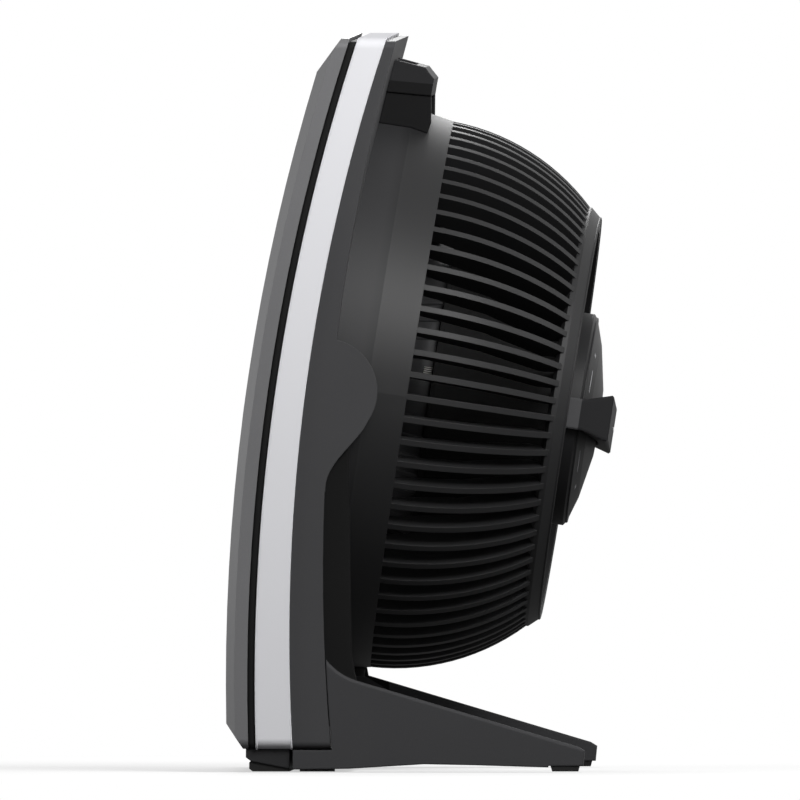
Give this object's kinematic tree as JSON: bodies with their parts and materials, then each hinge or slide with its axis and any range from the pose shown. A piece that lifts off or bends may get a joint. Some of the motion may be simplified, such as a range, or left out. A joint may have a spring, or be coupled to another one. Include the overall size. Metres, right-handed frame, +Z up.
{
  "type": "air circulator fan",
  "caption": "Floor air circulator: bowed frame with round grille, ribbed rear drum, rear knob and top handle, tilting between the two legs of a low stand.",
  "frame": {"origin": "on the floor, under the middle of the fan's bounding box", "axes": "+Z up, front at -Y, width along X"},
  "size_m": [0.3676, 0.2308, 0.44],
  "materials": {
    "graphite_shell": "fine satin grain",
    "band_grey": "fine satin grain",
    "silver_trim": "smooth light silver-white",
    "black_gloss": "soft gloss black",
    "black_grille": "soft gloss black",
    "badge_grey": "smooth, left plain",
    "blade_grey": "smooth moulded",
    "knob_black": "satin",
    "pointer_white": "smooth",
    "stand_grey": "satin with light grain",
    "rubber_black": "fine matt",
    "steel_zinc": "zinc plated",
    "motor_steel": "plain sheet",
    "copper_winding": "enamelled wire",
    "acetal_white": "smooth",
    "switch_plastic": "moulded"
  },
  "bodies": {
    "stand": {"stand_side_right": "stand_grey", "stand_side_left": "stand_grey", "stand_crossbar": "stand_grey", "stand_screws": "steel_zinc", "foot_pads": "rubber_black", "pivot_pin_right": "steel_zinc", "pivot_pin_left": "steel_zinc", "pivot_washers": "acetal_white"},
    "head": {"front_bezel": "graphite_shell", "trim_strip": "silver_trim", "head_frame": "band_grey", "rear_housing": "black_gloss", "front_grille": "black_grille", "grille_badge": "badge_grey", "handle": "black_gloss", "handle_screws": "steel_zinc", "chin_foot": "graphite_shell", "chin_pad": "rubber_black", "cord_gland": "rubber_black", "motor_shroud": "black_gloss", "motor_can": "motor_steel", "motor_windings": "copper_winding", "motor_mount": "motor_steel", "housing_screws": "steel_zinc", "rear_cap": "black_gloss", "speed_switch": "switch_plastic"},
    "rotor": {"impeller": "blade_grey", "motor_shaft": "steel_zinc", "motor_rotor": "motor_steel", "hub_nut": "black_gloss"},
    "knob": {"speed_knob": "knob_black", "knob_pointer": "pointer_white"}
  },
  "joints": [
    {"name": "head_tilt", "type": "hinge", "parent": "stand", "child": "head", "pos_m": [0, -0.0559, 0.2282], "axis": [-1, 0, 0], "range_deg": [0, 81]},
    {"name": "rotor_spin", "type": "hinge", "parent": "head", "child": "rotor", "pos_m": [0, -0.0069, 0.2247], "axis": [0, 0.9885, -0.1513], "continuous": true},
    {"name": "knob_turn", "type": "hinge", "parent": "head", "child": "knob", "pos_m": [0, -0.0069, 0.2247], "axis": [0, 0.9885, -0.1513], "range_deg": [0, 135]}
  ]
}
